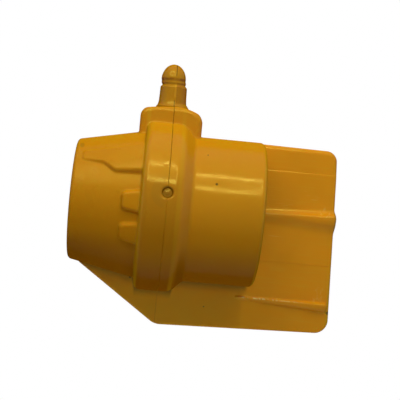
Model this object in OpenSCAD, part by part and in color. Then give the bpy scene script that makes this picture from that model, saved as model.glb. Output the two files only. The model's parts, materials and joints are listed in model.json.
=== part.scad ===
// Fence insulator: a flanged two-part barrel on a ribbed mounting blade.
// The barrel lies along X and the blade stands behind it in the XZ plane.
// The origin is on the back of the blade, behind the point where the seam
// between the two shells crosses the barrel axis. The front faces -Y.

/* [Barrel] */
// Outside diameter of the rear shell
barrel_d = 36; // [35:0.5:46]
// Length of the rear shell, from the seam to its mouth
rear_len = 23.3; // [21:0.1:32]
// Length of the nose shell, from the seam to its tip
nose_len = 22.8; // [20:0.1:30]
// How much smaller the nose is across its tip than the rear shell
nose_taper = 6.7; // [3:0.1:8]
// Wall of the rear shell at its mouth
wall = 2.25; // [1.8:0.05:2.8]
// Depth of the flat that the blade cuts off the back of the barrel
flat_depth = 7.5; // [5.5:0.1:8]
// Rounding of the rear rim
rear_rim_r = 1.1; // [0.4:0.1:1.6]
// Rounding of the nose rim
nose_rim_r = 0.8; // [0.3:0.1:1.2]

/* [Flange] */
// Height of the flange ring above the barrel
ring_rise = 3.0; // [2:0.1:5]
// Width of the ring on the nose side of the seam
ring_nose_w = 6.2; // [4.5:0.1:7.4]
// Width of the flat part of the ring on the rear side of the seam
ring_rear_w = 3.5; // [2.5:0.1:5]
// Length of the slope from the ring down to the rear shell
ring_slope_w = 2.4; // [1:0.1:3.5]
// Rounding of the ring's edge on the nose side
ring_edge_r = 1.1; // [0.4:0.1:1.6]

/* [Shoulder] */
// Height of the shoulder's top above the ring
shoulder_rise = 3.6; // [3:0.1:6]
// Reach of the shoulder on the nose side of the seam
shoulder_nose_w = 8.1; // [7:0.1:10]
// Reach of the shoulder on the rear side of the seam
shoulder_rear_w = 7.2; // [6.5:0.1:9]
// Depth of the shoulder from front to back
shoulder_depth = 10.4; // [10:0.1:12]

/* [Wire stud] */
// Distance of the stud from the seam, towards the nose
stud_offset = 0.5; // [0:0.1:0.8]
// Diameter of the stem
stem_d = 7.0; // [6:0.1:8]
// Height of the stem's top above the shoulder
stem_top = 4.9; // [4.5:0.1:6]
// Diameter of the notch above the stem
notch_d = 5.7; // [4.6:0.1:6]
// Diameter of the bullet head
head_d = 6.2; // [5.6:0.1:6.6]
// Height of the stud's tip above the shoulder
stud_height = 10.8; // [10.4:0.1:14]
// Diameter of the foot that is held in the shoulder
foot_d = 7.6; // [7:0.1:8]
// Thickness of the foot
foot_t = 1.4; // [1:0.1:1.6]
// Diameter of the neck between foot and stem
neck_d = 5.0; // [4:0.1:5.4]

/* [Blade] */
// Thickness of the blade
blade_t = 2.2; // [2:0.1:3]
// Reach of the blade past the seam, at the height of the barrel axis
blade_reach = 44.35; // [38:0.1:56]
// Height of the blade above the top of the barrel
top_margin = 0.5; // [0:0.1:3]
// Drop of the blade below the bottom of the barrel
low_margin = 12.65; // [8:0.05:20]
// How far short of the nose's tip the wing under it ends
wing_margin = 1.4; // [0.4:0.1:3]
// Lean of the blade's free end
end_lean = 1.8; // [0:0.1:4]

/* [Ribs] */
// Height of the middle rib at the free end
mid_rib_h = 3.0; // [1.5:0.1:3.5]
// Width of the middle rib at the free end
mid_rib_w = 4.0; // [3:0.1:5]
// Height of the lower rib
low_rib_h = 1.9; // [1:0.1:2.5]
// Drop of the lower rib below the bottom of the barrel
low_rib_drop = 3.6; // [2:0.1:5]

/* [Keys] */
// Angle of the first tooth above the front of the nose
tooth_angle = 2; // [0:0.5:4]
// Angle from one tooth to the next
tooth_pitch = 24; // [20:1:26]
// Number of teeth
tooth_count = 2; // [1:1:2]
// Length of a tooth along the nose
tooth_len = 4.3; // [3:0.1:5.5]
// Width of a tooth at its free end
tooth_w = 4.6; // [3.5:0.1:5]
// Angle of the pointer key above the front of the nose
pointer_angle = 38; // [36:0.5:42]
// Distance from the tip of the nose to the point of the pointer key
pointer_margin = 2.2; // [1:0.1:4]

/* [Wire way] */
// Bore of the core tube
wire_bore_d = 8.0; // [6:0.1:8.4]
// Outside diameter of the core tube
tube_d = 12.0; // [10.6:0.1:14.4]
// Wall of both bushes
bush_wall = 1.8; // [1.2:0.1:2.2]

/* [Fasteners] */
// Thickness of a retaining clip
clip_t = 0.8; // [0.6:0.1:1]
// How far a retaining clip stands out of the core tube
clip_rise = 1.7; // [1:0.1:2]
// Shank diameter of the blade screws
screw_d = 2.4; // [2:0.1:2.6]
// Head diameter of the blade screws
screw_head_d = 4.4; // [4:0.1:4.8]
// Diameter of the pin in the seam of the flange
seam_pin_d = 2.2; // [1.8:0.1:2.4]

/* [Clearances] */
// Gap between the nose shell and the face of the blade
slide_gap = 0.15; // [0.1:0.05:0.3]
// Radial gap between the spigot and its socket
spigot_gap = 0.2; // [0.15:0.05:0.35]
// Radial running clearance of the core tube in its bushes
running_gap = 0.06; // [0.03:0.01:0.1]
// Gap round the stud's foot and neck, and under its flare
stud_gap = 0.1; // [0.08:0.01:0.15]
// Gap round pieces that are pressed or screwed in place
seat_gap = 0.05; // [0.03:0.01:0.08]

/* [Hidden] */
$fn = 96;
past = 1; // how far a cutting shape runs past the face that it cuts
big = 200; // larger than the whole part

barrel_r = barrel_d / 2;
ring_r = barrel_r + ring_rise;
tip_r = (barrel_d - nose_taper) / 2;
shoulder_top = ring_r + shoulder_rise;
axis_height = barrel_r - flat_depth; // from the front of the blade
axis_y = -(blade_t + axis_height);

// Nose: the cone's radius at the ring is the barrel's
cone_slope = (barrel_r + 0.1 - tip_r) / (nose_len - ring_nose_w);
function cone_r(x) = tip_r + (x + nose_len) * cone_slope;

// Inside of the rear shell, from the seam: socket, land, then the disc's seat
mouth_r = barrel_r - wall;
land_r = mouth_r - 1.25;
socket_depth = 5.2;
disc_t = 2.5;
disc_recess = 4.0;
rear_disc_x = rear_len - disc_recess; // outer face of the rear disc
rear_seat_x = rear_disc_x - disc_t;

// Spigot of the nose shell, which enters the socket
spigot_r = mouth_r - spigot_gap;
spigot_wall = 1.55;
spigot_len = socket_depth - 0.4;
nose_bore_r = spigot_r - spigot_wall;

// Seat of the nose disc, which goes in from the tip
nose_seat_r = tip_r - 2.25;
nose_recess = 3.0;
nose_disc_x = -nose_len + nose_recess; // outer face of the nose disc
nose_seat_x = nose_disc_x + disc_t;
nose_ledge_w = 1.2;
nose_ledge_r = nose_seat_r - 1.1;

// Hubs carry the bushes, and the bushes carry the core tube
hub_wall = 1.2;
tube_r = tube_d / 2;
bush_r = tube_r + bush_wall;
hub_r = bush_r + hub_wall;
hub_gap = 0.3;
rear_hub_x = socket_depth + 2.4; // inner end of the rear hub
nose_hub_x = nose_disc_x + 6.8; // inner end of the nose hub
bush_flange_t = 0.8;
bush_flange_r = bush_r + 1.2;

// A clip runs beside each end of the rear hub, in a groove of the core tube
clip_gap = 0.25;
groove_play = 0.1;
groove_r = tube_r - 0.7;
clip_r = tube_r + clip_rise;
front_clip_x = rear_hub_x - clip_gap - clip_t;
back_clip_x = rear_disc_x + bush_flange_t + clip_gap;
tube_front_x = -nose_len + 1.2;
tube_back_x = back_clip_x + clip_t + 1.2;

// Stud and the socket that its foot turns in
flare_r = stem_d / 2 + 1.4;
flare_h = 1.9;
neck_len = 1.7;
foot_top = shoulder_top - neck_len;
foot_bottom = foot_top - foot_t;
stud_x = -stud_offset;

// Pin in the seam
seam_pin_angle = 10.4;
seam_pin_depth = 3.4;
dimple_r = seam_pin_d / 2 + 0.5;
dimple_depth = 0.45;

// Screws that hold the rear shell to the blade
screw_len = 6.2;
screw_head_h = 1.1;
screw_sunk = 0.05; // how far the heads lie under the back of the blade
screw_x = [socket_depth + 2.4, rear_seat_x - 2.2];
screw_z = axis_height - 1.3;
lug_z = screw_z - screw_d / 2 - 1.4; // inner face of the lugs
lug_h = screw_len - blade_t + 0.8;

// Blade outline: its corners and their rounding
toe_x = 0.1;
blade_top = barrel_r + top_margin;
blade_drop = barrel_r + low_margin;
wing_reach = nose_len - wing_margin;
low_rib_z = -(barrel_r + low_rib_drop);
low_rise = 1.35; // the lower edge rises this much towards the free end
top_fall = 0.5; // the upper edge falls this much towards the free end
end_x_low = blade_reach + blade_drop * tan(end_lean);
end_x_top = blade_reach - blade_top * tan(end_lean);

amber = [0.82, 0.56, 0.12];
natural = [0.90, 0.88, 0.80];
steel = [0.72, 0.73, 0.74];

// A closed outline whose corners are rounded by arcs; radii holds one radius per corner
function unit(v) = v / norm(v);
function corner(a, b, c, r) =
    let (u = unit(a - b), v = unit(c - b), half = acos(u * v) / 2)
    let (centre = b + unit(u + v) * r / sin(half), start = b + u * r / tan(half) - centre)
    let (turn = cross(start, b + v * r / tan(half) - centre) > 0 ? 180 - 2 * half : 2 * half - 180)
    r <= 0 ? [b] : [for (i = [0:6]) centre + [
        start[0] * cos(turn * i / 6) - start[1] * sin(turn * i / 6),
        start[0] * sin(turn * i / 6) + start[1] * cos(turn * i / 6)]];
function rounded(points, radii) =
    let (n = len(points))
    [for (i = [0:n - 1]) each corner(points[(i + n - 1) % n], points[i], points[(i + 1) % n], radii[i])];

// Places children drawn along +Z on the barrel axis, starting at x
module on_axis(x = 0) {
    translate([x, axis_y, 0]) rotate([0, 90, 0]) children();
}

// A cylinder along the barrel axis from x0 to x1
module rod(x0, x1, r) {
    on_axis(x0) cylinder(h = x1 - x0, r = r);
}

// Turns an outline of [radius, x] points about the barrel axis
module turned(points) {
    on_axis() rotate_extrude() polygon(points);
}

// Extrudes an outline in X and Z through y0 to y1
module slab(y0, y1) {
    translate([0, y1, 0]) rotate([90, 0, 0]) linear_extrude(height = y1 - y0) children();
}

// Keeps what lies in front of the blade, less a gap
module before_blade(gap) {
    intersection() {
        children();
        translate([-big / 2, -big - blade_t - gap, -big / 2]) cube(big);
    }
}

// Keeps one side of the seam: 1 is the rear side, -1 the nose side
module side_of_seam(side) {
    intersection() {
        children();
        translate([side > 0 ? 0 : -big, -big / 2, -big / 2]) cube(big);
    }
}

// ---- Shoulder, which is split between the two shells ----
module shoulder_block() {
    bottom = barrel_r - 2;
    slope_start = stem_d / 2 + 0.9;
    slope_drop = 1.4;
    slab(axis_y - shoulder_depth / 2, axis_y + shoulder_depth / 2)
        polygon(rounded(
            [[-shoulder_nose_w, bottom], [shoulder_rear_w, bottom],
             [shoulder_rear_w, shoulder_top - slope_drop], [slope_start, shoulder_top],
             [-shoulder_nose_w + 2.6, shoulder_top], [-shoulder_nose_w, shoulder_top - 0.5]],
            [0, 0, 1.2, 1.0, 3.0, 1.6]));
}

module stud_socket() {
    translate([stud_x, axis_y, 0]) {
        translate([0, 0, foot_bottom - stud_gap])
            cylinder(h = foot_t + 2 * stud_gap, d = foot_d + 2 * stud_gap);
        translate([0, 0, foot_bottom])
            cylinder(h = neck_len + foot_t + past, d = neck_d + 2 * stud_gap);
    }
}

// The hole for the pin, with the dimple round its head
module seam_pin_hole() {
    translate([0, axis_y, 0]) rotate([90 - seam_pin_angle, 0, 0]) {
        translate([0, 0, ring_r - seam_pin_depth])
            cylinder(h = seam_pin_depth + past, d = seam_pin_d + 2 * seat_gap);
        translate([0, 0, ring_r - dimple_depth])
            cylinder(h = dimple_depth + past, r = dimple_r);
    }
}

// ---- Rear shell ----
module rear_outside() {
    turned(rounded(
        [[0, 0], [ring_r, 0], [ring_r, ring_rear_w], [barrel_r, ring_rear_w + ring_slope_w],
         [barrel_r, rear_len], [0, rear_len]],
        [0, 0, 0.5, 0.8, rear_rim_r, 0]));
}

module rear_inside() {
    rod(-past, socket_depth, mouth_r);
    rod(0, rear_len, land_r);
    rod(rear_seat_x, rear_len + past, mouth_r);
}

// Lugs inside the shell that the blade screws cut into, clear of the hub between them
module screw_lugs() {
    difference() {
        intersection() {
            rod(socket_depth, rear_seat_x, land_r + 0.5);
            for (side = [-1, 1])
                translate([socket_depth, -blade_t - lug_h, side > 0 ? lug_z : -lug_z - barrel_r])
                    cube([rear_seat_x - socket_depth, lug_h, barrel_r]);
        }
        rod(socket_depth - past, rear_seat_x + past, hub_r + hub_gap);
    }
}

module screw_places() {
    for (x = screw_x, side = [-1, 1])
        translate([x, 0, side * screw_z]) rotate([90, 0, 0]) children();
}

module rear_shell() {
    color(amber) before_blade(0) difference() {
        union() {
            difference() {
                union() {
                    rear_outside();
                    side_of_seam(1) shoulder_block();
                }
                rear_inside();
            }
            screw_lugs();
        }
        stud_socket();
        seam_pin_hole();
        screw_places() cylinder(h = screw_len + 0.3, d = screw_d + 2 * seat_gap);
    }
}

// ---- Nose shell ----
module nose_outside() {
    turned(rounded(
        [[0, -nose_len], [tip_r, -nose_len], [cone_r(-ring_nose_w), -ring_nose_w],
         [ring_r, -ring_nose_w + 0.2], [ring_r, 0], [0, 0]],
        [0, nose_rim_r, 0, ring_edge_r, 0, 0]));
}

module nose_inside() {
    rod(-nose_len - past, nose_seat_x, nose_seat_r);
    rod(-nose_len, nose_seat_x + nose_ledge_w, nose_ledge_r);
    rod(nose_seat_x + nose_ledge_w, spigot_len + past, nose_bore_r);
}

// A key on the cone: an outline of [x, across] points, seen square on at an angle above the front,
// and cut off by a cone that rises from r0 at x0 to r1 at the ring
module key(angle, outline, x0, r0, r1) {
    intersection() {
        translate([0, axis_y, 0]) rotate([-angle, 0, 0]) rotate([90, 0, 0])
            linear_extrude(height = ring_r) polygon(outline);
        turned([[nose_bore_r, x0], [r0, x0], [r1, -ring_nose_w + 0.4], [nose_bore_r, -ring_nose_w + 0.4]]);
    }
}

module tooth(angle) {
    x0 = -ring_nose_w - tooth_len;
    half = tooth_w / 2;
    spread = 0.75;
    key(angle,
        rounded([[x0, -half], [-ring_nose_w + 0.4, -half - spread],
                 [-ring_nose_w + 0.4, half + spread], [x0, half]], [0.5, 0, 0, 0.5]),
        x0, cone_r(x0) + 1.0, cone_r(-ring_nose_w) + 0.75);
}

// The long key, narrow at its tip, with an S-shaped step to its wide part
module pointer() {
    x0 = -nose_len + pointer_margin;
    step_start = x0 + 5.9;
    step_end = x0 + 8.8;
    key(pointer_angle,
        rounded([[x0, 0.1], [step_start, -1.7], [step_end, -4.0], [-ring_nose_w + 0.4, -5.1],
                 [-ring_nose_w + 0.4, 3.9], [x0, 3.0]],
                [0.4, 1.5, 1.5, 0, 0, 0.8]),
        x0, cone_r(x0) + 0.15, cone_r(-ring_nose_w) + 1.1);
}

module nose_shell() {
    color(amber) before_blade(slide_gap) difference() {
        union() {
            nose_outside();
            side_of_seam(-1) shoulder_block();
            rod(-ring_nose_w, spigot_len, spigot_r);
            for (i = [0:tooth_count - 1])
                tooth(tooth_angle - i * tooth_pitch);
            pointer();
        }
        nose_inside();
        stud_socket();
        seam_pin_hole();
    }
}

// ---- Wire stud, which turns in the shoulder ----
module wire_stud() {
    base = shoulder_top + stud_gap;
    stem_z = shoulder_top + stem_top;
    head_z = stem_z + 1.9;
    tip_z = shoulder_top + stud_height;
    stem_r = stem_d / 2;
    head_r = head_d / 2;
    nose_h = tip_z - head_z;
    flare = [for (a = [0:15:90])
        [flare_r - (flare_r - stem_r) * sin(a), base + 0.2 + (flare_h - 0.2) * (1 - cos(a))]];
    bullet = [for (a = [0:10:90]) [head_r * cos(a), head_z + nose_h * sin(a)]];
    color(amber) translate([stud_x, axis_y, 0]) rotate_extrude()
        polygon(concat(
            [[0, foot_bottom], [foot_d / 2, foot_bottom], [foot_d / 2, foot_top], [neck_d / 2, foot_top],
             [neck_d / 2, base], [flare_r, base]],
            flare,
            [[stem_r, stem_z - 0.5], [stem_r - 0.15, stem_z - 0.15], [stem_r - 0.5, stem_z],
             [notch_d / 2, stem_z + 0.7], [notch_d / 2, stem_z + 1.2], [head_r - 0.15, head_z - 0.2]],
            bullet));
}

// ---- Pin in the seam of the flange ----
module seam_pin() {
    color(amber) translate([0, axis_y, 0]) rotate([90 - seam_pin_angle, 0, 0])
        translate([0, 0, ring_r - seam_pin_depth + seat_gap])
            rotate_extrude() polygon([[0, 0], [seam_pin_d / 2, 0],
                [seam_pin_d / 2, seam_pin_depth - 0.75], [seam_pin_d / 2 - 0.25, seam_pin_depth - 0.45],
                [seam_pin_d / 2 - 0.6, seam_pin_depth - 0.25], [0, seam_pin_depth - 0.15]]);
}

// ---- Core tube, its bushes and its clips ----
module core_tube() {
    lead = 0.5;
    bore_r = wire_bore_d / 2;
    color(natural) difference() {
        turned([[bore_r, tube_front_x + lead], [bore_r + lead, tube_front_x], [tube_r - lead, tube_front_x],
                [tube_r, tube_front_x + lead], [tube_r, tube_back_x - lead], [tube_r - lead, tube_back_x],
                [bore_r + lead, tube_back_x], [bore_r, tube_back_x - lead]]);
        for (x = [front_clip_x, back_clip_x])
            turned([[groove_r, x - groove_play], [tube_r + past, x - groove_play],
                    [tube_r + past, x + clip_t + groove_play], [groove_r, x + clip_t + groove_play]]);
    }
}

module tube_clips() {
    mouth = 70; // the angle of the clip's opening
    lip = 2 * clip_r;
    color(steel) for (x = [front_clip_x, back_clip_x])
        on_axis(x) linear_extrude(height = clip_t) difference() {
            circle(r = clip_r);
            circle(r = groove_r + seat_gap);
            polygon([[0, 0], [lip * cos(mouth / 2), lip * sin(mouth / 2)],
                     [lip * cos(mouth / 2), -lip * sin(mouth / 2)]]);
        }
}

// A bush with a flange at its outer end; side is 1 when that end points along +X
module bush(outer_x, inner_x, side) {
    flange_x = outer_x + side * bush_flange_t;
    bore_r = tube_r + running_gap;
    color(natural) turned([[bore_r, inner_x], [bush_r, inner_x], [bush_r, outer_x],
                           [bush_flange_r, outer_x], [bush_flange_r, flange_x], [bore_r, flange_x]]);
}

module rear_bush() {
    bush(rear_disc_x, rear_hub_x, 1);
}

module nose_bush() {
    bush(nose_disc_x, nose_hub_x, -1);
}

// ---- Discs that close the two ends and carry the bushes ----
module rear_end_disc() {
    color(amber) before_blade(seat_gap) difference() {
        union() {
            rod(rear_seat_x, rear_disc_x, mouth_r - seat_gap);
            rod(rear_hub_x, rear_disc_x, hub_r);
        }
        rod(rear_hub_x - past, rear_disc_x + past, bush_r + seat_gap);
    }
}

module nose_end_disc() {
    color(amber) before_blade(slide_gap + seat_gap) difference() {
        union() {
            rod(nose_disc_x, nose_seat_x, nose_seat_r - seat_gap);
            rod(nose_disc_x, nose_hub_x, hub_r);
        }
        rod(nose_disc_x - past, nose_hub_x + past, bush_r + seat_gap);
    }
}

// ---- Mounting blade with its ribs ----
module blade_plate() {
    behind_nose = -0.45 * nose_len;
    slab(-blade_t, 0) polygon(rounded(
        [[-wing_reach, -tip_r - 1.0], [toe_x, -blade_drop], [end_x_low, -blade_drop + low_rise],
         [end_x_top, blade_top - top_fall], [ring_rear_w, blade_top], [behind_nose, tip_r],
         [-wing_reach, tip_r - 3.0]],
        [1.0, 1.6, 3.5, 2.6, 2, 3, 2]));
}

// One end of a rib: a round-topped section, w wide and h high
module rib_end(x, z, w, h) {
    translate([x, -blade_t + 0.3, z]) rotate([90, 0, 90])
        linear_extrude(height = 0.05) polygon([for (a = [0:15:180]) [-(h + 0.3) * sin(a), w / 2 * cos(a)]]);
}

module ribs() {
    start = rear_len - 0.3;
    stop = blade_reach - 0.05;
    hull() {
        rib_end(start, 0, 1.4, 0.5);
        rib_end(stop, 0, mid_rib_w, mid_rib_h);
    }
    hull() {
        rib_end(start - 1, low_rib_z - 0.4, 0.8, 0.3);
        rib_end(stop - 1.2, low_rib_z - 0.9, 2.4, low_rib_h);
    }
}

module mounting_blade() {
    color(amber) difference() {
        union() {
            blade_plate();
            ribs();
        }
        screw_places() {
            translate([0, 0, -past]) cylinder(h = blade_t + 2 * past, d = screw_d + 2 * seat_gap);
            cylinder(h = screw_head_h + screw_sunk,
                     d1 = screw_head_d + 2 * seat_gap, d2 = screw_d + 2 * seat_gap);
        }
    }
}

module blade_screws() {
    slot_w = 0.6;
    color(steel) screw_places() difference() {
        rotate_extrude() polygon([[0, screw_sunk], [screw_head_d / 2, screw_sunk],
                                  [screw_d / 2, screw_sunk + screw_head_h],
                                  [screw_d / 2, screw_len - 0.8], [0.3, screw_len], [0, screw_len]]);
        translate([-screw_head_d, -slot_w / 2, -past]) cube([2 * screw_head_d, slot_w, past + 0.6]);
    }
}

mounting_blade();
rear_shell();
nose_shell();
wire_stud();
seam_pin();
core_tube();
rear_end_disc();
nose_end_disc();
rear_bush();
nose_bush();
tube_clips();
blade_screws();
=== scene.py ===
"""A fence insulator: the looks of its moulded shells, blade, stud and inner pieces.

Sizes are in millimetres until a mesh is made. X runs along the barrel, +Z is up and the front faces -Y.
The moulded pieces are solids described by distance functions (negative inside), so that their edges and
fillets are as round as a moulding's, and each is meshed on a grid that is finer where the detail is.
"""
import json
import math

import bpy
import numpy as np
from mathutils import Matrix, Vector


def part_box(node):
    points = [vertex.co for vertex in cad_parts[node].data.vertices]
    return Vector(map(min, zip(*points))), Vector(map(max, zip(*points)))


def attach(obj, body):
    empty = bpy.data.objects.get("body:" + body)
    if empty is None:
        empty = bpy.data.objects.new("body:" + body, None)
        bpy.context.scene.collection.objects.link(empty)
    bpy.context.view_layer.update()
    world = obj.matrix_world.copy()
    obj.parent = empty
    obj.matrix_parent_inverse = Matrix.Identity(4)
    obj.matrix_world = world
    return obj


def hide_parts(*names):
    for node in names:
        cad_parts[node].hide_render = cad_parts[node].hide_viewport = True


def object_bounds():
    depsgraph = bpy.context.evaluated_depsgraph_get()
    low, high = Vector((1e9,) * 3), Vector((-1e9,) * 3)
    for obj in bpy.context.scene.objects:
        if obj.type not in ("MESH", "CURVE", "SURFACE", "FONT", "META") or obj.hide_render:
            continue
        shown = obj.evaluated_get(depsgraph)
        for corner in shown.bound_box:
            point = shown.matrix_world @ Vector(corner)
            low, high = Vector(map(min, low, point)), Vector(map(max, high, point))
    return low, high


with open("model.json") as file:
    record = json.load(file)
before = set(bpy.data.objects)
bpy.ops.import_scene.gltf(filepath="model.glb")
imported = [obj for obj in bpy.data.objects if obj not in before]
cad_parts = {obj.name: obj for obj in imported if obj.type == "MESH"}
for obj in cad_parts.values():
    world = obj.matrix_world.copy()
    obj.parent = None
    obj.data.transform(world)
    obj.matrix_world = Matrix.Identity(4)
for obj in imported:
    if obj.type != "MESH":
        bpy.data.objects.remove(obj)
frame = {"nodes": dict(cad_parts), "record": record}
cad_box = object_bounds()
scene = bpy.context.scene
MM = 0.001


# ---- Places and sizes that the frame gives --------------------------------------------------------

def box_mm(node):
    low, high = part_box(node)
    return np.array(low) / MM, np.array(high) / MM


mounts = {m["name"]: m for m in frame["record"]["mounts"]}
axis_y = mounts["wire_bore"]["pos_m"][1] / MM
stud_x = mounts["snap_stud"]["pos_m"][0] / MM
stem_r = mounts["snap_stud"]["dims"]["r_mm"]
rear_low, rear_high = box_mm("rear_shell")
nose_low, nose_high = box_mm("nose_shell")
blade_low, blade_high = box_mm("mounting_blade")
stud_low, stud_high = box_mm("wire_stud")
pin_low, pin_high = box_mm("seam_pin")
screws_low, screws_high = box_mm("blade_screws")
rear_len = rear_high[0]
nose_len = -nose_low[0]
spigot_len = nose_high[0]
ring_r = axis_y - nose_low[1]
shoulder_top = rear_high[2]
blade_front = rear_high[1]
nose_back = nose_high[1]
blade_end = blade_high[0]
blade_top = blade_high[2]
blade_foot = blade_low[2]
rear_disc_x = box_mm("rear_end_disc")[1][0]
nose_disc_x = box_mm("nose_end_disc")[0][0]

# ---- Sizes of the mouldings that no box gives -----------------------------------------------------

barrel_r = 18.0
tip_r = 14.8
ring_nose_w = 6.2
ring_rear_w = 2.9
ring_slope_w = 3.0
cone_rise = barrel_r + 0.25 - tip_r  # the cone meets the ring a little outside the barrel's radius
cone_run = nose_len - ring_nose_w
cone_cosine = math.cos(math.atan(cone_rise / cone_run))
ring_inset = 0.03  # the ring is this much smaller on the rear shell than on the nose, so the seam shows
blade_overlap = 0.2

# Inside the shells
mouth_r = 15.75
land_r = 14.5
socket_depth = 5.2
disc_t = 2.5
spigot_r = 15.55
spigot_root = 3.0
nose_bore_r = 14.0
nose_seat_r = 12.4
nose_ledge_w = 1.1
nose_ledge_t = 1.2
lug_z = 6.6
lug_h = 4.8
lug_inner_r = 9.3
lug_skin = 1

# The shoulder and the socket in it for the stud
shoulder_half = 5.2
shoulder_nose_w = 8.1
shoulder_rear_w = 7.2
shoulder_foot_z = 12
shoulder_right_slope = ((4.0, shoulder_top), (6.9, shoulder_top - 1.8))
shoulder_left_slope = ((-shoulder_nose_w, shoulder_top - 0.95), (-4.0, shoulder_top))
socket_neck_r = 2.6
socket_foot_r = 3.9
socket_roof_t = 1.6
socket_play = 0.1

# The round mark in the seam, and its pin
pin_tilt = math.radians(9.6)
pin_r = 1.1
pin_bottom = 3.2
pin_hole_r = 1.12
pin_hole_bottom = 3.4
dimple_r = 1.7
dimple_depth = 0.5
pin_nub_h = 0.2

# The nose's teeth and its pointer key
tooth_angles = (2, -22)
tooth_len = 4.0
tooth_half = 1.8
tooth_h = 1.15
tooth_up = 0.15
tooth_widening = 0.17
tooth_fall = 0.08
pointer_angle = 38
pointer_start = -nose_len + 2.1
pointer_upper = 2.9
pointer_widening = 0.065
pointer_tip_h = 0.26
pointer_rise = 0.064
pad_slope = 0.45
pad_rounding = 0.42

# The blade, its ribs and the holes for its screws
blade_edge_round = 0.45
blade_top_round = 0.75  # what the rounding grows by towards the top
blade_step = 0.07
low_step_z = (-11.95, -11.7)
high_step_z = (11.75, 12.0)
step_x = (22.5, 23)
rib_start = 21.5
low_rib_start = 20.5
low_rib_end = 44.3
low_rib_z = -21.7
screw_head_r = 2.2
screw_shank_r = 1.2
screw_head_h = 1.15
screw_play = 0.08

# The stud
head_r = 3.04
notch_z = shoulder_top + 5.6
head_z = notch_z + 1.3
foot_r = 3.8
foot_t = 1.4
neck_r = 2.5
stem_inset = 0.15
stem_taper = 0.025
flare_w = 0.6
flare_h = 0.55
notch_depth = 0.5
groove_up = 6.7
groove_depth = 0.05
groove_w = 0.35
stud_lean = 0.28
stud_dent = 0.13


# ---- Distance functions ---------------------------------------------------------------------------
# Where a field grows faster than the distance does, a factor a little below 1 brings it back, so that
# its edges are rounded to the radius that is written.

def both(a, b, rounding=0.0):
    """What a and b share, with the edge between them rounded."""
    if not np.any(rounding):
        return np.maximum(a, b)
    corner = np.hypot(np.maximum(rounding + a, 0), np.maximum(rounding + b, 0))
    return np.minimum(-rounding, np.maximum(a, b)) + corner


def either(a, b, fillet=0.0):
    """a and b together, with a fillet where they meet."""
    return -both(-a, -b, fillet)


def cut(a, b, rounding=0.0):
    """a without b, with the new edge rounded."""
    return both(a, -b, rounding)


def smooth(edge0, edge1, v):
    """0 where v is at edge0, 1 where it is at edge1, and smooth between them."""
    t = np.clip((v - edge0) / (edge1 - edge0), 0, 1)
    return t * t * (3 - 2 * t)


def line(x, v, p, q):
    """Signed distance to the straight line from p to q: positive on its left side."""
    dx, dv = q[0] - p[0], q[1] - p[1]
    return ((v - p[1]) * dx - (x - p[0]) * dv) / math.hypot(dx, dv)


def radius(y, z):
    return np.hypot(y - axis_y, z)


def tilted(y, z, angle):
    """Distance out from the barrel's axis in a direction angle above the front, and across it."""
    out = -(y - axis_y) * math.cos(angle) + z * math.sin(angle)
    across = (y - axis_y) * math.sin(angle) + z * math.cos(angle)
    return out, across


def cone_radius(x):
    return tip_r + (x + nose_len) * cone_rise / cone_run


def ring_field(x, r):
    slope = line(x, r, (ring_rear_w, ring_r), (ring_rear_w + ring_slope_w, barrel_r))
    rim = both(r - ring_r, slope, rounding=1.0)
    return both(rim, -x - ring_nose_w, rounding=1.8)


def barrel_field(x, r):
    return both(r - barrel_r, x - rear_len, rounding=1.15)


def cone_field(x, r):
    return both((r - cone_radius(x)) * cone_cosine, -x - nose_len, rounding=0.8)


def shoulder_field(x, y, z):
    """The block on top of the ring, which carries the stud."""
    top = both(z - shoulder_top, line(x, z, *shoulder_right_slope), rounding=1.5)
    top = both(top, line(x, z, *shoulder_left_slope), rounding=1.0)
    outline = both(top, -x - shoulder_nose_w, rounding=1.8)
    outline = both(outline, x - shoulder_rear_w, rounding=1.4)
    block = both(outline, np.abs(y - axis_y) - shoulder_half, rounding=1.3)
    return both(block, shoulder_foot_z - z)


def stud_hole_field(x, y, z):
    """The socket for the stud's neck and foot."""
    r = np.hypot(x - stud_x, y - axis_y)
    bottom = stud_low[2] - socket_play - z
    foot = both(r - socket_foot_r, np.maximum(z - (shoulder_top - socket_roof_t), bottom))
    return both(either(r - socket_neck_r, foot), bottom)


def dimple_field(x, y, z):
    """The round mark in the seam: a shallow dimple, with the hole for its pin."""
    out, across = tilted(y, z, pin_tilt)
    r = np.hypot(x, across)
    dish = ring_r - dimple_depth * smooth(1.65, 1.05, r) - out
    return either(both(r - dimple_r, dish), both(r - pin_hole_r, ring_r - pin_hole_bottom - out))


def seam_pin_field(x, y, z):
    """The pin in the seam: its top is a soft nub in the middle of the dimple."""
    out, across = tilted(y, z, pin_tilt)
    r = np.hypot(x, across)
    top = out - ring_r + dimple_depth - pin_nub_h * smooth(0.8, 0.2, r)
    return both(both(top, r - pin_r), ring_r - pin_bottom - out)


def seam_edge(z):
    """Rounding of the shells' edges at the seam: open at the top of the ring, closed towards its foot."""
    return 0.02 + 0.09 * smooth(0.0, 8.0, z)


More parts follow.
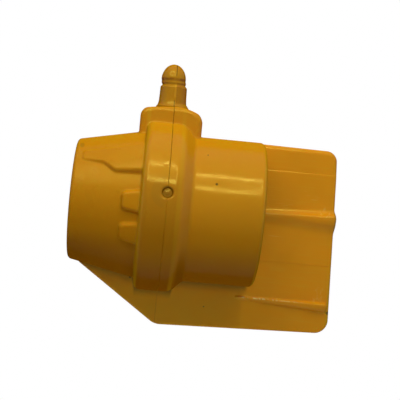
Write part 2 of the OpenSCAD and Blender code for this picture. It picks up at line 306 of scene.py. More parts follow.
def rear_shell_field(x, y, z):
    r = radius(y, z)
    outside = either(ring_field(x, r + ring_inset), barrel_field(x, r), fillet=0.35)
    outside = either(outside, shoulder_field(x, y, z), fillet=0.35)
    inside = both(r - mouth_r, x - socket_depth)
    inside = either(inside, r - land_r)
    inside = either(inside, both(r - mouth_r, rear_disc_x - disc_t - x))
    shell = cut(outside, inside, rounding=0.3)
    lug = both(x - (rear_disc_x - disc_t), socket_depth - x)
    lug = both(lug, np.maximum(lug_z - np.abs(z), r - barrel_r + lug_skin))
    lug = both(lug, np.maximum(blade_front - lug_h - y, lug_inner_r - r), rounding=0.3)
    shell = either(shell, lug)
    shell = cut(shell, stud_hole_field(x, y, z))
    shell = both(shell, -x, seam_edge(z))
    shell = cut(shell, dimple_field(x, y, z), rounding=0.12)
    return both(shell, y - blade_front - blade_overlap)


def raised(top, outline):
    """A raised pad with sloping walls and rounded edges, from its top surface and its outline."""
    wall = (outline + pad_slope * top) * 0.91
    return both(top, wall, pad_rounding)


def tooth_field(x, y, z, r, angle):
    """A tooth beside the ring, which widens and falls a little towards it."""
    out, across = tilted(y, z, math.radians(angle))
    start = -ring_nose_w - tooth_len
    sides = (np.abs(across - tooth_up) - tooth_half - tooth_widening * (x - start)) * 0.985
    outline = both(start - x, sides, rounding=0.8)
    top = (r - cone_radius(x) - tooth_h + tooth_fall * (x - start)) * 0.98
    return both(raised(top, outline), -out)


def pointer_field(x, y, z, r):
    """The long key: a narrow tip, an S-shaped step, and a wide part that runs into the ring."""
    out, across = tilted(y, z, math.radians(pointer_angle))
    along = x - pointer_start
    tip_drop = 1.25 * np.clip(along / 5.0, 0, 1)
    step_drop = 2.5 * smooth(4.6, 8.6, along)
    last_drop = 0.55 * np.clip((along - 8) / 6.5, 0, 1)
    lower = 0.15 - tip_drop - step_drop - last_drop
    upper = pointer_upper + pointer_widening * along
    outline = both(both(lower - across, across - upper, rounding=0.1), -along, rounding=0.6)
    top = (r - cone_radius(x) - pointer_tip_h - pointer_rise * along) * 0.97
    return both(raised(top, outline), -out)


def nose_shell_field(x, y, z):
    r = radius(y, z)
    outside = cone_field(x, r)
    for angle in tooth_angles:
        outside = either(outside, tooth_field(x, y, z, r, angle), fillet=0.2)
    outside = either(outside, pointer_field(x, y, z, r), fillet=0.2)
    outside = either(outside, ring_field(x, r), fillet=0.3)
    outside = either(outside, shoulder_field(x, y, z), fillet=0.35)
    outside = both(outside, x, seam_edge(z))
    outside = cut(outside, dimple_field(x, y, z), rounding=0.12)
    spigot = both(r - spigot_r, np.maximum(x - spigot_len, -x - spigot_root), rounding=0.3)
    outside = either(outside, spigot)
    ledge_x = nose_disc_x + disc_t
    inside = both(r - nose_seat_r, x - ledge_x)
    inside = either(inside, r - nose_seat_r + nose_ledge_w)
    inside = either(inside, both(r - nose_bore_r, ledge_x + nose_ledge_t - x))
    shell = cut(outside, inside, rounding=0.3)
    shell = cut(shell, stud_hole_field(x, y, z))
    return both(shell, y - nose_back)


blade_corners = [  # each with the rounding of its corner, from the wing's lower left, anticlockwise
    ((-nose_len + 1.4, -tip_r - 1.0), 1.0),
    ((0.1, blade_foot), 0.8),
    ((blade_end + 0.1, blade_foot + 1.35), 3.5),
    ((43.77, blade_top - 0.3), 2.7),
    ((ring_rear_w, blade_top + 0.2), 1.0),
    ((-0.45 * nose_len, tip_r), 1.0),
    ((-nose_len + 1.4, tip_r - 3.0), 1.0),
]


def blade_outline(x, z):
    field = None
    for i, (corner, rounding) in enumerate(blade_corners):
        following = blade_corners[(i + 1) % len(blade_corners)][0]
        side = -line(x, z, corner, following)
        field = side if field is None else both(field, side, rounding)
    return field


def rib_field(x, y, z, start, stop, crest, above, below, height, round_end):
    """A ridge on the front of the blade, from start to stop. Each of these is (at start, at stop): the
    height of its crest line, its reach above and below that line, and how far it stands out."""
    t = np.clip((x - start) / (stop - start), 0, 1)

    def along(pair):
        return pair[0] + (pair[1] - pair[0]) * t

    across = z - along(crest)
    w = np.where(across > 0, along(above), along(below))
    h = along(height)
    sunk = 0.4
    up = np.maximum(blade_front - y + sunk, 0)
    ridge = (np.hypot(across / w, up / (h + sunk)) - 1) * np.minimum(w, h + sunk) * 0.8
    return both(both(ridge, x - stop, round_end), start - x)


def screw_hole_field(x, y, z):
    """The four countersunk holes through the blade, open at its back."""
    middle_x = (screws_low[0] + screws_high[0]) / 2
    apart_x = (screws_high[0] - screws_low[0]) / 2 - screw_head_r
    r = np.hypot(np.abs(x - middle_x) - apart_x, np.abs(z) - screws_high[2] + screw_head_r)
    slope = (screw_head_r - screw_shank_r) / screw_head_h
    return (r - screw_play - np.maximum(screw_shank_r, screw_head_r + slope * y)) * 0.75


def blade_field(x, y, z):
    edge = blade_edge_round + blade_top_round * smooth(10, 17, z)
    outer_bands = 1 - smooth(*low_step_z, z) + smooth(*high_step_z, z)
    floor = blade_step * outer_bands * smooth(*step_x, x)
    plate = both(blade_outline(x, z), blade_front - y + floor, edge)
    plate = both(plate, y, rounding=0.5)
    middle = rib_field(
        x, y, z, rib_start, blade_end - 0.4, crest=(0.4, 0.9), above=(0.4, 1.1), below=(0.8, 3.2),
        height=(0.3, 1.7), round_end=0.9)
    lower = rib_field(
        x, y, z, low_rib_start, low_rib_end, crest=(low_rib_z, low_rib_z - 0.05), above=(0.25, 0.5),
        below=(0.5, 2.3), height=(0.3, 1.5), round_end=0.5)
    plate = either(either(plate, middle, fillet=0.9), lower, fillet=0.2)
    flush = y + 0.002  # the ribs' inner ends stay off the blade's back
    return cut(both(plate, flush), screw_hole_field(x, y, z))


def stud_radius(z):
    """Half width of the stud above the shoulder: a flared base, the stem, a sharp notch and the head."""
    flare = flare_w * np.exp(-np.maximum(z - shoulder_top - 0.1, 0) / flare_h)
    stem = stem_r + stem_taper * (notch_z - z) + flare
    stem = stem - stem_inset - notch_depth * smooth(notch_z - 0.65, notch_z + 0.05, z)
    k = np.clip((z - head_z) / (stud_high[2] - head_z), 0, 1)
    head = head_r * np.sqrt(np.maximum(1 - k ** 2.0, 0)) - 0.2 * smooth(notch_z + 0.5, notch_z, z)
    return np.where(z < notch_z, stem, head)


def stud_field(x, y, z):
    lean = stud_lean * smooth(shoulder_top + 4.5, shoulder_top + 7.5, z)
    r = np.hypot(x - stud_x + lean, y - axis_y)
    base = shoulder_top + 0.02
    dent = stud_dent * smooth(0.2, 0.45, x) * smooth(base + 0.5, base + 0.9, z) * smooth(30.1, 29.6, z)
    body = (r - stud_radius(z) + dent) * 0.8
    groove = groove_depth * np.exp(-((z - shoulder_top - groove_up) / groove_w) ** 2)
    body = both(body + groove, np.maximum(base - z, z - stud_high[2]))
    bottom = stud_low[2] - z
    foot = both(r - foot_r, np.maximum(bottom, z - stud_low[2] - foot_t), rounding=0.2)
    neck = both(r - neck_r, np.maximum(bottom, z - base - 0.3))
    return either(body, either(foot, neck))


# ---- Meshing a distance function ------------------------------------------------------------------

def ticks(low, high, step, bands=()):
    """Grid places from low to high, step apart, and closer in the bands (from, to, step)."""
    places = [low]
    while places[-1] < high:
        here = places[-1]
        wanted = step
        for start, stop, band_step in bands:
            if start <= here + 1e-6 < stop:
                wanted = min(wanted, band_step)
            elif here < start < here + wanted:
                wanted = min(wanted, start - here)
        places.append(here + max(wanted, 0.01))
    return np.array(places, np.float32)


def surface(field, xs, ys, zs):
    """Points and quads where the field is zero, one point in each grid cell that the surface crosses."""
    axes = (xs, ys, zs)
    grid = np.meshgrid(xs, ys, zs, indexing="ij")
    values = field(*grid).astype(np.float32)
    inside = values < 0
    cells = tuple(n - 1 for n in values.shape)
    total = np.zeros(cells + (3,), np.float32)
    count = np.zeros(cells, np.float32)
    crossings = []
    for axis in range(3):
        first = tuple(slice(0, -1) if a == axis else slice(None) for a in range(3))
        second = tuple(slice(1, None) if a == axis else slice(None) for a in range(3))
        found = np.argwhere(inside[first] != inside[second])
        crossings.append(found)
        after = found.copy()
        after[:, axis] += 1
        v0 = values[tuple(found.T)]
        v1 = values[tuple(after.T)]
        point = np.stack([axes[a][found[:, a]] for a in range(3)], 1)
        ahead = axes[axis][after[:, axis]]
        point[:, axis] += (ahead - point[:, axis]) * v0 / (v0 - v1)
        others = [a for a in range(3) if a != axis]
        for back in ((0, 0), (0, 1), (1, 0), (1, 1)):
            cell = found.copy()
            cell[:, others[0]] -= back[0]
            cell[:, others[1]] -= back[1]
            good = np.all((cell >= 0) & (cell < np.array(cells)), 1)
            where = tuple(cell[good].T)
            np.add.at(total, where, point[good])
            np.add.at(count, where, 1)
    used = count > 0
    number = np.full(cells, -1, np.int64)
    number[used] = np.arange(int(used.sum()))
    points = total[used] / count[used][:, None]
    quads = []
    for axis in range(3):
        found = crossings[axis]
        b, c = [a for a in range(3) if a != axis]
        good = (found[:, b] > 0) & (found[:, c] > 0) & (found[:, b] < cells[b]) & (found[:, c] < cells[c])
        found = found[good]
        ring = []
        for back in ((1, 1), (0, 1), (0, 0), (1, 0)):
            cell = found.copy()
            cell[:, b] -= back[0]
            cell[:, c] -= back[1]
            ring.append(number[tuple(cell.T)])
        quad = np.stack(ring, 1)
        flip = inside[tuple(found.T)] != (axis != 1)
        quad[flip] = quad[flip][:, ::-1]
        quads.append(quad)
    return points, np.concatenate(quads)


def settle(field, points, rounds=3):
    """The points, moved onto the field's zero surface along its gradient."""
    reach = 0.02
    longest_move = 0.12
    p = points.astype(np.float64)
    for _ in range(rounds):
        slope = np.stack([
            field(*(p + offset).T) - field(*(p - offset).T) for offset in np.eye(3) * reach], 1)
        slope = slope / (2 * reach)
        size = np.maximum((slope ** 2).sum(1), 1e-6)
        move = -(field(*p.T) / size)[:, None] * slope
        length = np.linalg.norm(move, axis=1, keepdims=True)
        p = p + move * np.minimum(1, longest_move / np.maximum(length, 1e-9))
    return p


def moulding(name, field, xs, ys, zs):
    """A mesh object of the solid that field describes."""
    points, quads = surface(field, xs, ys, zs)
    points = settle(field, points)
    mesh = bpy.data.meshes.new(name)
    mesh.vertices.add(len(points))
    mesh.vertices.foreach_set("co", (points * MM).astype(np.float32).ravel())
    mesh.loops.add(quads.size)
    mesh.loops.foreach_set("vertex_index", quads.astype(np.int32).ravel())
    mesh.polygons.add(len(quads))
    mesh.polygons.foreach_set("loop_start", np.arange(0, quads.size, 4, dtype=np.int32))
    mesh.polygons.foreach_set("use_smooth", np.ones(len(quads), bool))
    mesh.update(calc_edges=True)
    mesh.validate()
    piece = bpy.data.objects.new(name, mesh)
    scene.collection.objects.link(piece)
    return piece


# ---- Materials ------------------------------------------------------------------------------------

class Paint:
    """A new material and the means to build its nodes; its positions are in millimetres of the frame."""

    def __init__(self, name):
        self.material = bpy.data.materials.new(name)
        self.material.use_nodes = True
        self.tree = self.material.node_tree
        self.shader = self.tree.nodes["Principled BSDF"]
        place = self.node("ShaderNodeTexCoord").outputs["Object"]
        scale = self.node("ShaderNodeVectorMath", operation="SCALE")
        scale.inputs["Scale"].default_value = 1 / MM
        self.link(place, scale.inputs[0])
        self.place = scale.outputs[0]
        apart = self.node("ShaderNodeSeparateXYZ")
        self.link(self.place, apart.inputs[0])
        self.x, self.y, self.z = apart.outputs

    def node(self, kind, **settings):
        made = self.tree.nodes.new(kind)
        for key, value in settings.items():
            setattr(made, key, value)
        return made

    def link(self, source, target):
        self.tree.links.new(source, target)

    def feed(self, value, target):
        """Sets target to value, which is a socket or a plain value."""
        if isinstance(value, bpy.types.NodeSocket):
            self.link(value, target)
        else:
            target.default_value = value

    def shade(self, **values):
        """Sets the shader's sockets, whose names are written here with _ for each space."""
        for key, value in values.items():
            self.feed(value, self.shader.inputs[key.replace("_", " ")])

    def maths(self, operation, *values):
        made = self.node("ShaderNodeMath", operation=operation)
        for value, target in zip(values, made.inputs):
            self.feed(value, target)
        return made.outputs[0]

    def ramp(self, value, start, stop, low=0.0, high=1.0):
        """Low where value is start, high where it is stop, and smooth between them."""
        made = self.node("ShaderNodeMapRange", interpolation_type="SMOOTHSTEP")
        for key, number in (("From Min", start), ("From Max", stop), ("To Min", low), ("To Max", high)):
            made.inputs[key].default_value = number
        self.link(value, made.inputs["Value"])
        return made.outputs["Result"]

    def window(self, value, low, high, soft):
        """1 where value lies between low and high, and 0 outside, with soft ends."""
        rise = self.ramp(value, low - soft, low + soft)
        fall = self.ramp(value, high - soft, high + soft, 1.0, 0.0)
        return self.maths("MULTIPLY", rise, fall)

    def times(self, *factors):
        result = factors[0]
        for factor in factors[1:]:
            result = self.maths("MULTIPLY", result, factor)
        return result

    def noise(self, size, detail=2.0, stretch=(1, 1, 1)):
        """Smooth noise about 0.5, with features of about size millimetres."""
        scaled = self.node("ShaderNodeVectorMath", operation="MULTIPLY")
        self.link(self.place, scaled.inputs[0])
        scaled.inputs[1].default_value = [1 / (size * part) for part in stretch]
        made = self.node("ShaderNodeTexNoise")
        made.inputs["Scale"].default_value = 1.0
        made.inputs["Detail"].default_value = detail
        self.link(scaled.outputs[0], made.inputs["Vector"])
        return made.outputs["Fac"]

    def spot(self, x, z, size, soft=0.4):
        """1 within size of a place on the front, and 0 outside."""
        dx = self.maths("SUBTRACT", self.x, x)
        dz = self.maths("SUBTRACT", self.z, z)
        away = self.maths("SQRT", self.maths("ADD", self.times(dx, dx), self.times(dz, dz)))
        near = self.ramp(away, size * (1 - soft), size * (1 + soft), 1.0, 0.0)
        return self.times(near, self.ramp(self.y, -2.0, -1.9, 1.0, 0.0))

    def tint(self, colour, over, *factors):
        """The colour over (a socket or a colour), mixed towards colour by the product of the factors."""
        made = self.node("ShaderNodeMix", data_type="RGBA")
        self.feed(self.times(*factors), made.inputs[0])
        self.feed(over, made.inputs[6])
        made.inputs[7].default_value = colour
        return made.outputs[2]

    def bump(self, height, depth, under=None):
        """Raises the surface by height (a socket, 0 to 1) times depth millimetres."""
        made = self.node("ShaderNodeBump")
        made.inputs["Distance"].default_value = depth * MM
        self.link(height, made.inputs["Height"])
        if under is not None:
            self.link(under, made.inputs["Normal"])
        return made.outputs["Normal"]


amber_base = (0.70, 0.290, 0.005, 1)
amber_deep = (0.65, 0.250, 0.003, 1)
amber_pale = (0.84, 0.42, 0.02, 1)
blade_amber = (0.89, 0.350, 0.0065, 1)
stud_amber = (0.53, 0.235, 0.005, 1)
# painted highlight for the lighter rims and edges
painted_edge_highlight = (0.70, 0.36, 0.007, 1)
# painted fill light for the blade's lower left
painted_fill_light_orange = (1.0, 0.45, 0.010, 1)
# pale tone of the scratches and scuffs, and of the painted highlight on the middle rib's crest
scuff_and_crest_highlight = (1.0, 0.64, 0.13, 1)
# painted highlight dotted along the lower rib's crest
painted_crest_highlight = (1.0, 0.74, 0.28, 1)
worn = (0.42, 0.19, 0.010, 1)
# painted shade on the ring's lower half
ring_painted_shade = (0.40, 0.140, 0.002, 1)
# painted shade on the right half of the stud's stem
stud_painted_shade = (0.42, 0.15, 0.003, 1)
notch_brown = (0.28, 0.075, 0.002, 1)
# painted shade along the foot of the barrel, the ring and the cone
painted_foot_shade = (0.26, 0.065, 0.001, 1)
# painted shadow of the barrel on the blade
painted_shadow_brown = (0.20, 0.045, 0.001, 1)
dirt = (0.06, 0.026, 0.002, 1)
gloss_tint = (1.0, 0.84, 0.13, 1)
tube_cream = (0.76, 0.73, 0.64, 1)
tube_grey = (0.62, 0.58, 0.47, 1)
steel_light = (0.42, 0.41, 0.39, 1)
steel_dark = (0.24, 0.235, 0.22, 1)
floor_light = (0.92, 0.92, 0.91, 1)
floor_dark = (0.88, 0.88, 0.87, 1)


def amber_gloss(p, matt_x, dull_foot):
    """The strength of the reflection and its roughness. The reflection fades where the surface is seen
    at a slant, in place of the usual rise, which would lay the white surroundings over the amber."""
    grazing = p.node("ShaderNodeLayerWeight").outputs["Facing"]
    gloss = p.ramp(grazing, 0.12, 0.55, low=0.55, high=0.0)
    if dull_foot:
        gloss = p.times(gloss, p.ramp(p.z, -8, 3.5, low=0.25))
    roughness = p.ramp(p.noise(3, 3), 0.3, 0.7, low=0.10, high=0.22)
    if matt_x is not None:
        matt_ends = (matt_x - 0.5, matt_x + 0.5)
        roughness = p.maths("ADD", roughness, p.ramp(p.x, *matt_ends, low=0.15, high=0.0))
        gloss = p.times(gloss, p.ramp(p.x, *matt_ends, low=0.7))
    return gloss, roughness


def amber_moulding(name, marks=None, wave=0.06, base=amber_base, matt_x=None, dull_foot=False):
    """Glossy moulded polyethylene; marks adds the piece's own spots and lines, and its painted shade and
    highlights, to its colour. Where the piece lies to the left of matt_x its gloss is softer, and
    dull_foot takes most of it from the lower half. wave is the depth of the unevenness that makes its
    reflections waver."""
    p = Paint(name)
    colour = p.tint(amber_deep, base, p.ramp(p.noise(16), 0.35, 0.7, high=0.35))
    colour = p.tint(amber_pale, colour, p.ramp(p.noise(1.1, 3), 0.55, 0.8, high=0.12))
    if marks is not None:
        colour = marks(p, colour)
    gloss, roughness = amber_gloss(p, matt_x, dull_foot)
    normal = p.bump(p.noise(7, 1), wave)
    normal = p.bump(p.noise(2.2, 2), wave * 0.42, normal)
    normal = p.bump(p.noise(0.9, 2), 0.004, normal)
    p.shade(
        Base_Color=colour, Roughness=roughness, Normal=normal, Specular_IOR_Level=gloss,
        Specular_Tint=gloss_tint, Subsurface_Weight=0.4, Subsurface_Radius=(1.0, 0.4, 0.05),
        Subsurface_Scale=1.2 * MM)
    return p.material


def barrel_edge(p):
    """How far a place lies below the foot of the barrel, the ring or the cone, as seen from the front."""
    slope = (barrel_r - tip_r) / cone_run
    cone = p.maths("MULTIPLY_ADD", p.x, slope, tip_r + nose_len * slope)
    ring = p.times(p.window(p.x, -ring_nose_w, ring_rear_w + 1, soft=0.5), ring_r - barrel_r)
    reach = p.maths("ADD", p.maths("MINIMUM", cone, barrel_r), ring)
    return p.maths("SUBTRACT", p.maths("MULTIPLY", p.z, -1.0), reach)


def painted_underside_shade(p, colour):
    """Painted shade: the deep, reddish darkening along the foot of the barrel, the ring and the cone."""
    return p.tint(painted_foot_shade, colour, p.ramp(barrel_edge(p), -12.0, 0.0), p.ramp(p.z, -6, -10), 0.7)


def ring_shade(p, colour):
    """Painted shade: the thick ring darker from its middle down."""
    band = p.window(p.x, -ring_nose_w + 0.6, ring_rear_w + 0.2, soft=0.5)
    return p.tint(ring_painted_shade, colour, band, p.ramp(p.z, 9.0, 4.5, high=0.42))


def round_mark(p, colour):
    """The round mark painted darker, and the faint arc at its left."""
    centre_z = ring_r * math.sin(pin_tilt)
    colour = p.tint(dirt, colour, p.spot(0.0, centre_z, 1.35, soft=0.25), 0.5)
    arc = p.times(p.spot(0.0, centre_z, 3.8, soft=0.05), p.ramp(p.x, 0.0, -1.2))
    return p.tint(worn, colour, arc, 0.24)


def seam_line(p, colour):
    """The dark line of the joint between the shells, down the front to the round mark."""
    across = p.window(p.x, -0.09, 0.09, soft=0.07)
    along = p.times(p.ramp(p.z, 4.5, 8.0), p.ramp(p.noise(1.6), 0.3, 0.55, low=0.55))
    front = p.ramp(p.y, axis_y - 2, axis_y - 1, low=0.45, high=0.0)
    colour = p.tint(dirt, colour, across, along, front)
    colour = round_mark(p, colour)
    return p.tint(amber_deep, colour, across, p.ramp(p.z, 4.0, 2.0, high=0.4))


def rear_marks(p, colour):
    """The barrel's painted shade, its seam, its two pits and the painted highlights on its edges."""
    colour = seam_line(p, painted_underside_shade(p, ring_shade(p, colour)))
    colour = p.tint(dirt, colour, p.spot(11.3, 6.46, 0.3), 0.9)
    colour = p.tint(dirt, colour, p.spot(8.9, 13.23, 0.16), 0.7)
    # painted highlight along the barrel's rim and the ring's rear edge
    rim = p.window(p.x, rear_len - 0.75, rear_len + 1, soft=0.15)
    colour = p.tint(painted_edge_highlight, colour, rim, 0.5)
    ring_edge_highlight = p.window(p.x, ring_rear_w - 0.6, ring_rear_w + 0.3, soft=0.3)
    return p.tint(painted_edge_highlight, colour, ring_edge_highlight, 0.4)


def nose_marks(p, colour):
    """The nose's painted shade, its seam, the worn place at its rim and the painted highlight on the ring's
    edge.
    """
    colour = seam_line(p, painted_underside_shade(p, ring_shade(p, colour)))
    colour = p.tint(worn, colour, p.spot(-21.3, 13.0, 0.55), 0.6)
    # painted highlight along the ring's front edge
    ring_edge_highlight = p.window(p.x, -ring_nose_w - 0.2, -ring_nose_w + 0.7, soft=0.3)
    return p.tint(painted_edge_highlight, colour, ring_edge_highlight, 0.6)


def painted_rib_highlights(p, colour, front):
    """Painted highlights on the crests of the two ribs: a thin line on the middle one, a dotted one on the
    lower.
    """
    crest = p.maths("MULTIPLY_ADD", p.ramp(p.x, rib_start, 44.8), 0.5, 0.45)
    off = p.maths("SUBTRACT", p.z, crest)
    thin = p.times(p.window(off, -0.12, 0.16, soft=0.1), p.ramp(p.x, 36, 25), p.ramp(p.x, 22, 25))
    # painted highlight along the middle rib's crest
    colour = p.tint(scuff_and_crest_highlight, colour, thin, front, 0.4)
    dots = p.ramp(p.noise(0.7, 2, (1, 1, 3)), 0.38, 0.58)
    ends = p.times(p.ramp(p.x, 40, 27), p.ramp(p.x, low_rib_start, 23))
    dotted = p.times(p.window(p.z, low_rib_z - 0.15, low_rib_z + 0.2, soft=0.12), ends, dots)
    # painted highlight dotted along the lower rib's crest
    return p.tint(painted_crest_highlight, colour, dotted, front, 0.9)


def scratches(p, colour, front):
    """The three places on the blade where fine scratches run along it."""
    lines = p.ramp(p.noise(0.16, 1, (24, 1, 1)), 0.6, 0.72)
    near = p.times(p.window(p.x, 27, 33, soft=1.5), p.window(p.z, 1.8, 4.6, soft=0.4))
    far = p.times(p.window(p.x, 36, 39.5, soft=1.0), p.window(p.z, 4.8, 7.6, soft=0.3))
    low = p.times(p.window(p.x, 28, 32, soft=1.0), p.window(p.z, -5.2, -4.4, soft=0.2))
    where = p.maths("MINIMUM", p.maths("ADD", near, p.maths("ADD", far, low)), 1.0)
    return p.tint(scuff_and_crest_highlight, colour, lines, where, front, 0.55)


def scuffs(p, colour, front):
    """The mottled patches near the ends of the two ribs."""
    mottle = p.ramp(p.noise(0.8, 3, (0.6, 1, 1.3)), 0.52, 0.66)
    upper = p.times(p.window(p.x, 40.2, 43.2, soft=0.5), p.window(p.z, 0.8, 3.4, soft=0.4))
    lower = p.times(p.window(p.x, 40.6, 43.0, soft=0.5), p.window(p.z, -21.4, -17.2, soft=0.6))
    return p.tint(scuff_and_crest_highlight, colour, mottle, p.maths("ADD", upper, lower), front, 0.3)


def blade_marks(p, colour):
    """The blade's flow lines, its painted fill light at the lower left, its painted shadow below the
    barrel, its three pits, its scratches and scuffs, and the painted highlights on its rib crests. All but
    the painted highlight at its free end lie on the front alone."""
    front = p.ramp(p.y, blade_front + 0.3, blade_front + 0.2)
    flow = p.ramp(p.noise(0.45, 2, (18, 1, 1)), 0.5, 0.75)
    colour = p.tint(amber_pale, colour, flow, front, 0.3)
    # painted fill light: the blade's lower left made lighter
    colour = p.tint(painted_fill_light_orange, colour, p.ramp(p.z, -19, -23), p.ramp(p.x, 32, 10), front)
    # painted highlight along the blade's free end
    colour = p.tint(painted_edge_highlight, colour, p.ramp(p.x, blade_end - 1.1, blade_end - 0.5), 0.8)
    # painted shadow cast by the barrel on the blade just below it
    barrel_shadow_mask = p.times(
        p.ramp(barrel_edge(p), 3.2, 0.2), p.ramp(p.x, rear_len + 0.4, rear_len - 0.8), p.ramp(p.z, -6, -10))
    colour = p.tint(painted_shadow_brown, colour, barrel_shadow_mask, front, 0.85)
    for x, z, size in ((12.5, -25.0, 0.16), (-7.2, -19.1, 0.28), (44.8, -23.9, 0.4)):
        colour = p.tint(dirt, colour, p.spot(x, z, size), front, 0.85)
    colour = scratches(p, colour, front)
    colour = scuffs(p, colour, front)
    colour = painted_rib_highlights(p, colour, front)
    seam = p.times(p.window(p.x, 0.0, 0.25, soft=0.1), p.ramp(p.z, -20.0, -21.0))
    return p.tint(amber_deep, colour, seam, front, 0.5)


def stud_marks(p, colour):
    """The stud's seam, dark near the tip and at the foot, the painted shade on the right half of its stem,
    the light line left of that, and the darker band under its head."""
    across = p.window(p.x, -0.25, -0.02, soft=0.07)
    up = p.maths("ADD", p.ramp(p.z, 32.0, 32.6), p.ramp(p.z, 26.6, 25.8))
    front = p.ramp(p.y, axis_y, axis_y - 1)
    colour = p.tint(dirt, colour, across, up, front, 0.7)
    # painted shade on the right half of the stem
    shaded_right_half = p.times(p.window(p.x, 0.15, 4, soft=0.12), p.window(p.z, 25.4, 30.6, soft=0.4))
    colour = p.tint(stud_painted_shade, colour, shaded_right_half, front, 0.55)
    light_line = p.times(p.window(p.x, -0.35, 0.12, soft=0.08), p.window(p.z, 27, 30.4, soft=0.4))
    colour = p.tint(amber_pale, colour, light_line, front, 0.35)
    # the darker band under the head
    band = p.times(p.window(p.z, 31.1, 31.8, soft=0.3), p.ramp(p.noise(1.2), 0.35, 0.6, low=0.5))
    return p.tint(notch_brown, colour, band, 0.95)


def natural_plastic():
    """The uncoloured low-friction plastic of the tube and its bushes."""
    p = Paint("natural_plastic")
    p.shade(
        Base_Color=p.tint(tube_grey, tube_cream, p.ramp(p.noise(3, 3), 0.35, 0.7)),
        Roughness=p.ramp(p.noise(1.5, 3), 0.3, 0.7, low=0.35, high=0.5),
        Normal=p.bump(p.noise(1.2, 2), 0.01))
    return p.material


def spring_steel():
    """Stainless steel with fine brushed lines."""
    p = Paint("spring_steel")
    lines = p.noise(0.12, 2, (1, 18, 1))
    p.shade(
        Base_Color=p.tint(steel_dark, steel_light, p.ramp(lines, 0.4, 0.65)), Metallic=1.0,
        Roughness=p.ramp(lines, 0.3, 0.7, low=0.24, high=0.38))
    return p.material


amber_rear = amber_moulding("amber_rear", rear_marks, dull_foot=True)
amber_nose = amber_moulding("amber_nose", nose_marks, matt_x=-ring_nose_w - 0.4, dull_foot=True)
amber_blade = amber_moulding("amber_blade", blade_marks, wave=0.02, base=blade_amber)
amber_stud = amber_moulding("amber_stud", stud_marks, wave=0.05, base=stud_amber)
amber_plain = amber_moulding("amber_plain")
amber_pin = amber_moulding("amber_pin", round_mark)
natural = natural_plastic()
steel = spring_steel()

# ---- Pieces ---------------------------------------------------------------------------------------

coarse = 0.36
fine = 0.18
nose_coarse = 0.42
nose_fine = 0.22
blade_fine = 0.2
stud_fine = fine * 0.8
seam_band = (-0.45, 0.45, 0.07)
shoulder_band = (19.5, shoulder_top + 1)

rear = moulding(
    "rear_shell_moulding", rear_shell_field,
    ticks(-0.5, rear_len + 1, coarse, [seam_band, (2.6, 6.6, fine), (rear_len - 1.4, rear_len + 1, fine)]),
    ticks(rear_low[1] - 1, blade_front + 1, coarse, [(rear_low[1] - 0.5, rear_low[1] + 1.5, fine)]),
    ticks(rear_low[2] - 1, shoulder_top + 1, coarse, [(1.8, 5.8, fine), (*shoulder_band, fine)]))
nose = moulding(
    "nose_shell_moulding", nose_shell_field,
    ticks(-nose_len - 1, spigot_len + 1, nose_coarse, [seam_band, (-nose_len - 0.5, -4.6, nose_fine)]),
    ticks(nose_low[1] - 1, nose_back + 1, nose_coarse, [(nose_low[1] - 0.5, axis_y - 8, 0.26)]),
    ticks(nose_low[2] - 1, shoulder_top + 1, nose_coarse,
          [(-11, 15, nose_fine), (*shoulder_band, nose_fine)]))
blade = moulding(
    "mounting_blade_moulding", blade_field,
    ticks(blade_low[0] - 1, blade_end + 1, 0.45, [(blade_end - 1.6, blade_end + 1, blade_fine)]),
    ticks(blade_low[1] - 1, 1, fine),
    ticks(blade_foot - 1, blade_top + 1, 0.42,
          [(blade_foot - 0.5, blade_foot + 2, blade_fine), (-24.5, -21, blade_fine), (-12.1, -11.6, 0.08),
           (-2.6, 2.6, blade_fine), (11.6, 12.1, 0.08), (blade_top - 2, blade_top + 1, blade_fine)]))
stud = moulding(
    "wire_stud_moulding", stud_field,
    *(ticks(stud_low[axis] - 1, stud_high[axis] + 1, stud_fine) for axis in range(3)))
pin = moulding(
    "seam_pin_moulding", seam_pin_field,
    ticks(-1.6, 1.6, 0.12), ticks(pin_low[1] - 0.5, pin_high[1] + 0.5, 0.14),
    ticks(pin_low[2] - 0.5, pin_high[2] + 0.5, 0.12))

for piece, node, body, material in (
        (rear, "rear_shell", "mounting", amber_rear), (nose, "nose_shell", "nose", amber_nose),
        (blade, "mounting_blade", "mounting", amber_blade), (stud, "wire_stud", "stud", amber_stud),
        (pin, "seam_pin", "mounting", amber_pin)):
    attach(piece, body)
    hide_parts(node)
    piece.data.materials.append(material)

for node, material in (("rear_end_disc", amber_plain), ("nose_end_disc", amber_plain),
                       ("core_tube", natural), ("rear_bush", natural), ("nose_bush", natural),
                       ("tube_clips", steel), ("blade_screws", steel)):
    slots = frame["nodes"][node].data.materials
    slots.clear()
    slots.append(material)

# ---- Camera ---------------------------------------------------------------------------------------

camera_distance = 265.0
camera_yaw = math.radians(2.7)
camera_roll = math.radians(5.3)
aim_left = 2.68
aim_up = 0.05
focal_length = 95.7
sensor_width = 36

centre = (np.array(cad_box[0]) + np.array(cad_box[1])) / 2 / MM
aim = Vector((centre[0] - aim_left, axis_y, centre[2] + aim_up))
forward = Vector((math.sin(camera_yaw), math.cos(camera_yaw), 0))
level_right = Vector((math.cos(camera_yaw), -math.sin(camera_yaw), 0))
up = Vector((0, 0, 1))
right = level_right * math.cos(camera_roll) + up * math.sin(camera_roll)
camera_up = up * math.cos(camera_roll) - level_right * math.sin(camera_roll)
camera = bpy.data.objects.new("camera", bpy.data.cameras.new("camera"))
camera.data.sensor_width = sensor_width
camera.data.lens = focal_length
camera.data.clip_start = 0.01
camera.data.clip_end = 10
camera.matrix_world = Matrix((
    (right[0], camera_up[0], -forward[0], 0), (right[1], camera_up[1], -forward[1], 0),
    (right[2], camera_up[2], -forward[2], 0), (0, 0, 0, 1)))
camera.location = (aim - forward * camera_distance) * MM
scene.collection.objects.link(camera)
scene.camera = camera

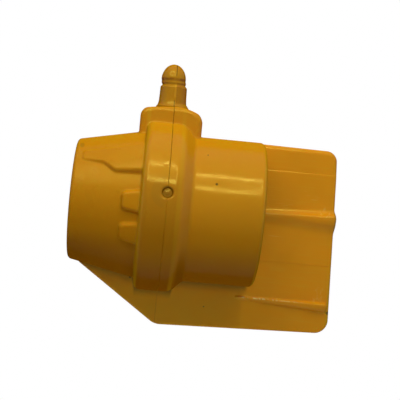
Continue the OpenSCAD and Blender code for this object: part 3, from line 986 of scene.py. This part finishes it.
# ---- Light and floor ------------------------------------------------------------------------------

lit_place = Vector((8, axis_y, 0))
softbox_edge = 15


def panel(name, elevation, bearing, distance, width, height, power, shift=(0, 0), mirrored=False):
    """A rectangular lamp facing the object from elevation and bearing degrees (0 is the front, + the
    right). shift moves it sideways and up in its own plane. Lengths are in millimetres and power in
    watts. Only a mirrored lamp shows in the gloss: the others are soft fill."""
    lift, turn = math.radians(elevation), math.radians(bearing)
    outward = Vector((math.sin(turn) * math.cos(lift), -math.cos(turn) * math.cos(lift), math.sin(lift)))
    light = bpy.data.lights.new(name, "AREA")
    light.shape = "RECTANGLE"
    light.size = width * MM
    light.size_y = height * MM
    light.energy = power
    lamp = bpy.data.objects.new(name, light)
    turning = outward.to_track_quat("Z", "Y")
    lamp.rotation_euler = turning.to_euler()
    place = lit_place + outward * distance + turning @ Vector((shift[0], shift[1], 0))
    lamp.location = place * MM
    lamp.visible_glossy = mirrored
    scene.collection.objects.link(lamp)


def softbox(elevation, bearing, distance, width, height, power, edge_power):
    """The lamp whose reflection shows on the barrel: a dim window with a bright frame."""
    panel("softbox", elevation, bearing, distance, width, height, power, mirrored=True)
    side = (width + softbox_edge) / 2
    rise = (height + softbox_edge) / 2
    per_area = edge_power / (2 * softbox_edge * (width + height))
    for name, w, h, shift in (
            ("left", softbox_edge, height, (-side, 0)), ("right", softbox_edge, height, (side, 0)),
            ("top", width, softbox_edge, (0, rise)), ("bottom", width, softbox_edge, (0, -rise))):
        panel("softbox_" + name, elevation, bearing, distance, w, h, per_area * w * h, shift, True)


softbox(elevation=44.5, bearing=-14, distance=200, width=150, height=60, power=0.014, edge_power=0.174)
for name, elevation, bearing, distance, width, height, power in (
        ("upper_front", 78, 0, 200, 120, 120, 0.054),
        ("upper_left", 65, -60, 200, 120, 120, 0.020),
        ("upper_right", 55, 45, 220, 170, 150, 0.088),
        ("back_high", 40, 150, 250, 160, 120, 0.05),
        ("back_low", 5, -160, 300, 160, 160, 0.07)):
    panel(name, elevation, bearing, distance, width, height, power)


def background_rays(tree):
    """1 for the rays that see the background: the camera's, the gloss's and those seen through glass."""
    path = tree.nodes.new("ShaderNodeLightPath")
    seen = path.outputs["Is Camera Ray"]
    for kind in ("Is Glossy Ray", "Is Transmission Ray"):
        larger = tree.nodes.new("ShaderNodeMath")
        larger.operation = "MAXIMUM"
        tree.links.new(seen, larger.inputs[0])
        tree.links.new(path.outputs[kind], larger.inputs[1])
        seen = larger.outputs[0]
    return seen


def white_world(as_seen, as_light):
    """A white world, with one strength where it is seen and another as light on the object."""
    world = bpy.data.worlds.new("world")
    scene.world = world
    world.use_nodes = True
    nodes, links = world.node_tree.nodes, world.node_tree.links
    strength = nodes.new("ShaderNodeMapRange")
    strength.inputs["To Min"].default_value = as_light
    strength.inputs["To Max"].default_value = as_seen
    links.new(background_rays(world.node_tree), strength.inputs["Value"])
    links.new(strength.outputs["Result"], nodes["Background"].inputs["Strength"])
    nodes["Background"].inputs["Color"].default_value = (1, 1, 1, 1)


def make_floor(x, y, reach, level, glow):
    """A plain pale floor below the object, round about (x, y). glow brings it up to the white of the
    background where it is seen."""
    steps = 64
    turns = [2 * math.pi * k / steps for k in range(steps)]
    rim = [(x + reach * math.cos(turn), y + reach * math.sin(turn), level) for turn in turns]
    mesh = bpy.data.meshes.new("floor")
    mesh.from_pydata([[v * MM for v in point] for point in rim], [], [list(range(steps))])
    floor = bpy.data.objects.new("floor", mesh)
    scene.collection.objects.link(floor)
    p = Paint("pale_floor")
    p.shade(
        Base_Color=p.tint(floor_dark, floor_light, p.noise(20)), Roughness=0.8,
        Emission_Color=(1, 1, 1, 1), Emission_Strength=p.maths("MULTIPLY", background_rays(p.tree), glow))
    mesh.materials.append(p.material)


white_world(as_seen=1.0, as_light=0.08)
make_floor(x=8, y=-50, reach=115, level=-95, glow=0.62)

scene.view_settings.view_transform = "Standard"
